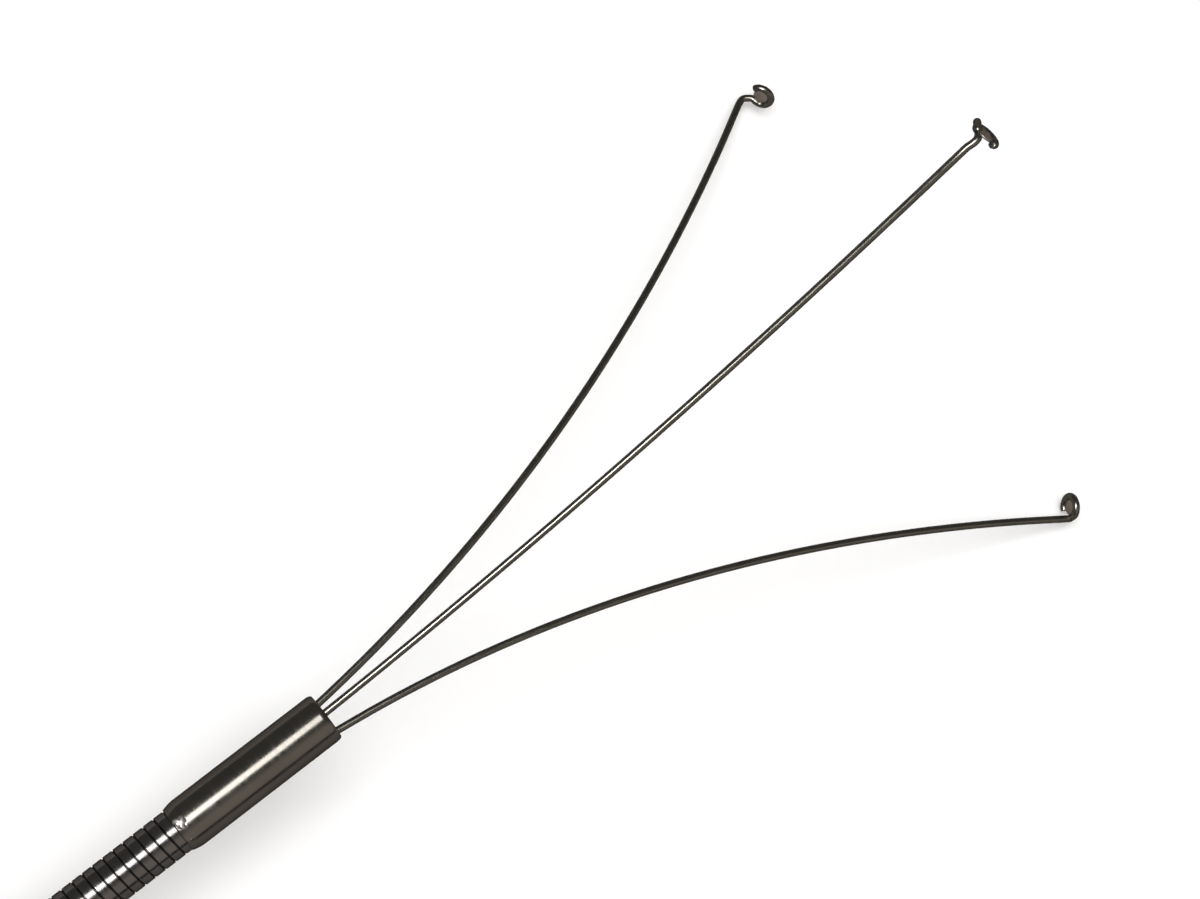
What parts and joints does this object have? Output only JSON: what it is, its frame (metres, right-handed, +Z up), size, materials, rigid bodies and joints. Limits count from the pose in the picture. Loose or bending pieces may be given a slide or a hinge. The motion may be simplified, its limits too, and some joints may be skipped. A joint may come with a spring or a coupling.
{
  "type": "three-prong polyp grasper",
  "caption": "Endoscopic grasper: hooked spring wires fan out of a steel sleeve on a coiled sheath and are drawn in by a finger slider on a ring handle.",
  "frame": {"origin": "centre of the flat underside of the handle's front boss, on the surface the instrument lies on", "axes": "+X from the handle's nose to its thumb ring, which is also the way the wires point; +Z up from the surface"},
  "size_m": [0.2117, 0.1112, 0.0254],
  "materials": {
    "polished_steel": "polished",
    "sheath_steel": "drawn flat wire",
    "spring_wire": "drawn round wire",
    "braze": "brazed",
    "handle_plastic": "fine moulded",
    "fitting_steel": "turned",
    "soft_plastic": "soft moulded",
    "tie_strap": "soft strap"
  },
  "bodies": {
    "root": {"distal_sleeve": "polished_steel", "distal_sheath": "sheath_steel", "sheath_lead": "sheath_steel", "sheath_coil": "sheath_steel", "sheath_tail": "sheath_steel", "coil_tie_1": "tie_strap", "coil_tie_2": "tie_strap", "coil_tie_3": "tie_strap", "proximal_sheath": "sheath_steel", "strain_relief": "soft_plastic", "sheath_ferrule": "braze", "nose_nut": "fitting_steel", "handle_body": "handle_plastic", "thumb_ring": "handle_plastic", "thumb_ring_pin": "fitting_steel"},
    "slider": {"slider_rings": "handle_plastic", "clamp_block": "fitting_steel", "clamp_screw": "fitting_steel", "drive_rod": "spring_wire"},
    "drive": {"prong_collar": "braze", "pull_cable": "spring_wire"},
    "upper_wire": {"prong_upper": "spring_wire"},
    "left_wire": {"prong_left": "spring_wire"},
    "right_wire": {"prong_right": "spring_wire"}
  },
  "joints": [
    {"name": "slider_slide", "type": "slide", "parent": "root", "child": "slider", "axis": [1, 0, 0], "range_m": [0, 0.033]},
    {"name": "cable_slide", "type": "slide", "parent": "root", "child": "drive", "axis": [-0.997, 0, -0.0773], "range_m": [0, 0.033]},
    {"name": "upper_close", "type": "hinge", "parent": "drive", "child": "upper_wire", "pos_m": [0.01438, 0.062, 0.00606], "axis": [0, 1, 0], "range_deg": [0, 20.6], "deforming": ["prong_upper"]},
    {"name": "left_close", "type": "hinge", "parent": "drive", "child": "left_wire", "pos_m": [0.01443, 0.06236, 0.00544], "axis": [0.0669, -0.5, -0.8634], "range_deg": [0, 20.6], "deforming": ["prong_left"]},
    {"name": "right_close", "type": "hinge", "parent": "drive", "child": "right_wire", "pos_m": [0.01443, 0.06164, 0.00544], "axis": [-0.0669, -0.5, 0.8634], "range_deg": [0, 20.6], "deforming": ["prong_right"]}
  ],
  "couplings": [
    {"joint": "cable_slide", "follows": "slider_slide", "ratio": 1},
    {"joint": "upper_close", "follows": "slider_slide", "rad_per_m": 10.842},
    {"joint": "left_close", "follows": "slider_slide", "rad_per_m": 10.842},
    {"joint": "right_close", "follows": "slider_slide", "rad_per_m": 10.842}
  ]
}
